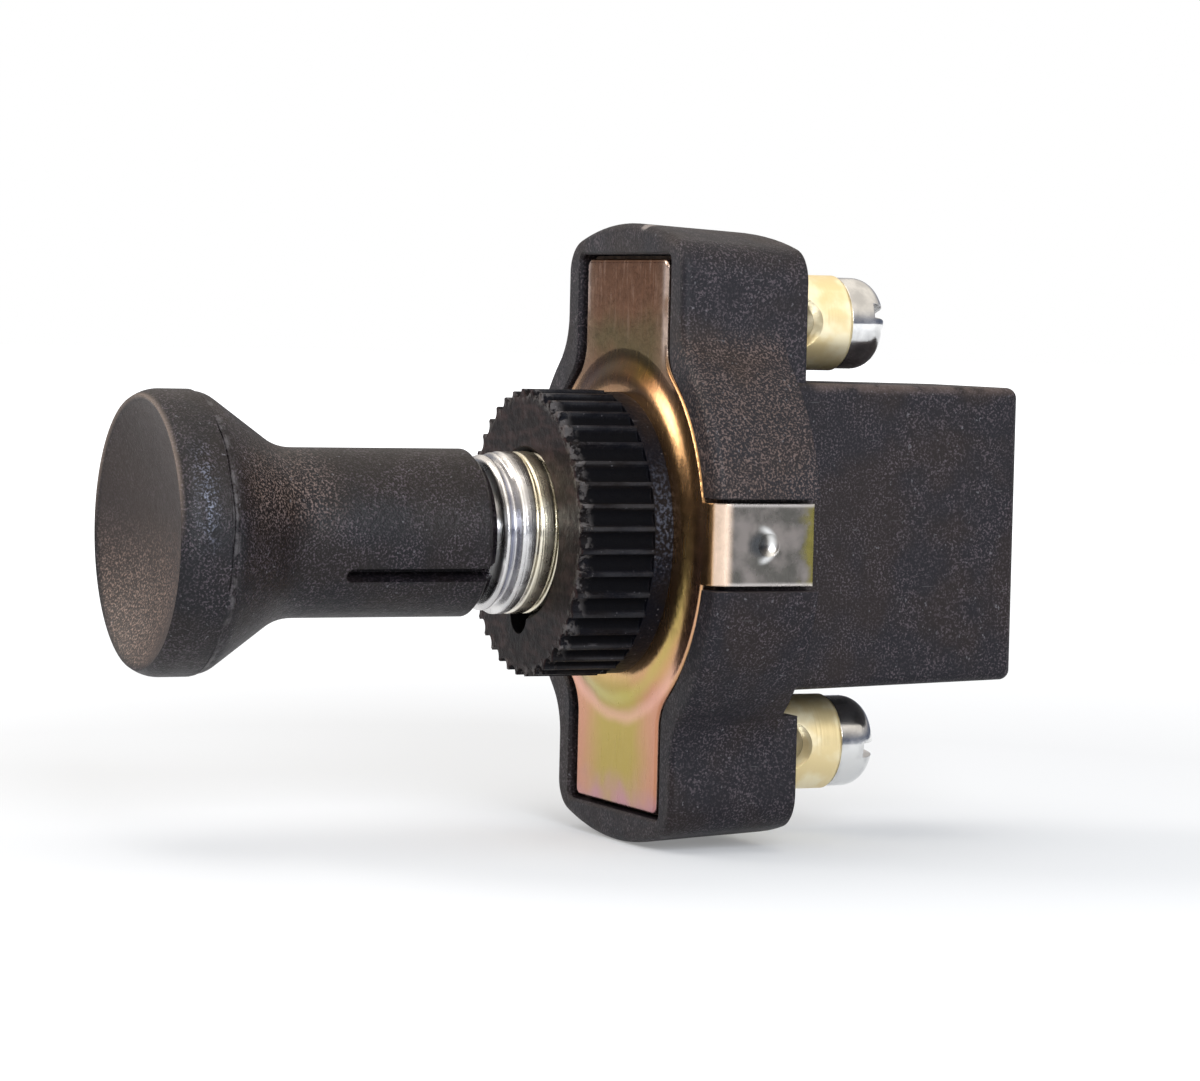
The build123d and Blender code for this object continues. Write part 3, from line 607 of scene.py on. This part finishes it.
floor_reach = 3.0
floor_gap = 0.00005
floor_mesh = bpy.data.meshes.new("studio_floor")
floor_level = cad_low.z - floor_gap
floor_mesh.from_pydata([(x, y, floor_level) for x, y in
                        ((-floor_reach, -floor_reach), (floor_reach, -floor_reach),
                         (floor_reach, floor_reach), (-floor_reach, floor_reach))], [], [(0, 1, 2, 3)])
floor = add_object("studio_floor", floor_mesh)

# The floor keeps the switch's shadow, and glows more the farther it lies, so that it runs into the backdrop
floor_white = (0.61, 0.625, 0.645)
near_glow = 0.23
glow_from = 0.09
glow_to = 0.45
floor_finish = bpy.data.materials.new("studio_floor")
floor_finish.use_nodes = True
floor_tree = floor_finish.node_tree
shader = floor_tree.nodes["Principled BSDF"]
shader.inputs["Base Color"].default_value = (*floor_white, 1.0)
shader.inputs["Roughness"].default_value = 0.9
shader.inputs["Specular IOR Level"].default_value = 0.0
shader.inputs["Emission Color"].default_value = (1.0, 1.0, 1.0, 1.0)
floor_place = floor_tree.nodes.new("ShaderNodeTexCoord").outputs["Object"]
floor_distance = floor_tree.nodes.new("ShaderNodeVectorMath")
floor_distance.operation = "LENGTH"
floor_tree.links.new(floor_place, floor_distance.inputs[0])
floor_glow = floor_tree.nodes.new("ShaderNodeMapRange")
for socket, value in (("From Min", glow_from), ("From Max", glow_to), ("To Min", near_glow), ("To Max", 1.0)):
    floor_glow.inputs[socket].default_value = value
floor_tree.links.new(floor_distance.outputs["Value"], floor_glow.inputs["Value"])
seen_glow = floor_tree.nodes.new("ShaderNodeMath")
seen_glow.operation = "MULTIPLY"
floor_tree.links.new(floor_glow.outputs["Result"], seen_glow.inputs[0])
floor_tree.links.new(seen_directly(floor_tree), seen_glow.inputs[1])
floor_tree.links.new(seen_glow.outputs[0], shader.inputs["Emission Strength"])
floor_mesh.materials.append(floor_finish)

world_light = 0.6
white = (1.0, 1.0, 1.0)
dome_stops = ((0.04, (0.13, 0.15, 0.21)), (0.6, (1.0, 0.93, 0.84)))
world = bpy.data.worlds.new("studio")
bpy.context.scene.world = world
world.use_nodes = True
world_tree = world.node_tree
world_paths = world_tree.nodes.new("ShaderNodeLightPath").outputs
height = world_tree.nodes.new("ShaderNodeSeparateXYZ")
world_tree.links.new(world_tree.nodes.new("ShaderNodeTexCoord").outputs["Generated"], height.inputs[0])
dome = world_tree.nodes.new("ShaderNodeValToRGB")
dome.color_ramp.interpolation = "EASE"
for stop, (position, colour) in zip(dome.color_ramp.elements, dome_stops):
    stop.position = position
    stop.color = (*colour, 1.0)
world_tree.links.new(height.outputs["Z"], dome.inputs["Fac"])


def for_rays(kind, colour, others):
    """The colour for rays of that kind, and what the others get for the rest."""
    mix = world_tree.nodes.new("ShaderNodeMix")
    mix.data_type = "RGBA"
    mix.inputs[7].default_value = (*colour, 1.0)
    world_tree.links.new(world_paths[kind], mix.inputs[0])
    world_tree.links.new(others, mix.inputs[6])
    return mix.outputs[2]


# Gloss sees the dome, matt surfaces an even light, and the camera plain white
lit = for_rays("Is Diffuse Ray", (world_light, world_light, world_light), dome.outputs["Color"])
world_tree.links.new(for_rays("Is Camera Ray", white, lit), world_tree.nodes["Background"].inputs["Color"])


def softbox(name, place, size, level, colour):
    """An area lamp aimed at the switch. A level of 1 shows a white surface that faces it as white."""
    lamp = bpy.data.lights.new(name, "AREA")
    lamp.shape = "RECTANGLE"
    lamp.size, lamp.size_y = size
    lamp.color = colour
    thing = add_object(name, lamp)
    thing.location = place
    lamp.energy = level * pi ** 2 * Vector(place).length_squared
    thing.rotation_euler = (-Vector(place)).to_track_quat("-Z", "Y").to_euler()


softbox("overhead_softbox", (0.06, -0.06, 0.42), (0.35, 0.35), 0.32, (1.0, 0.95, 0.88))
softbox("front_softbox", (-0.20, -0.30, 0.20), (0.18, 0.18), 0.44, (1.0, 0.93, 0.86))
softbox("side_softbox", (0.40, -0.05, 0.16), (0.20, 0.15), 0.74, (0.90, 0.94, 1.0))


# Camera

camera_azimuth = radians(65.53)
camera_elevation = radians(3.09)
camera_roll = radians(1.33)
camera_distance = 0.3195
camera_aside = (-0.00116, -0.00060)
camera_target = Vector((0.0, 0.0002, 0.0))
camera_lens = 128.9

back = Vector((sin(camera_azimuth) * cos(camera_elevation),
               -cos(camera_azimuth) * cos(camera_elevation), sin(camera_elevation)))
level_right = Vector((cos(camera_azimuth), sin(camera_azimuth), 0.0))
level_up = back.cross(level_right)
right = level_right * cos(camera_roll) + level_up * sin(camera_roll)
up = level_up * cos(camera_roll) - level_right * sin(camera_roll)
eye = camera_target + back * camera_distance + right * camera_aside[0] + up * camera_aside[1]

camera_data = bpy.data.cameras.new("camera")
camera_data.lens = camera_lens
camera_data.sensor_width = 36.0
camera_data.clip_start = 0.02
camera_data.clip_end = 10.0
camera = add_object("camera", camera_data)
camera.matrix_world = Matrix((
    (right.x, up.x, back.x, eye.x),
    (right.y, up.y, back.y, eye.y),
    (right.z, up.z, back.z, eye.z),
    (0.0, 0.0, 0.0, 1.0)))
bpy.context.scene.camera = camera
bpy.context.scene.view_settings.view_transform = "Standard"
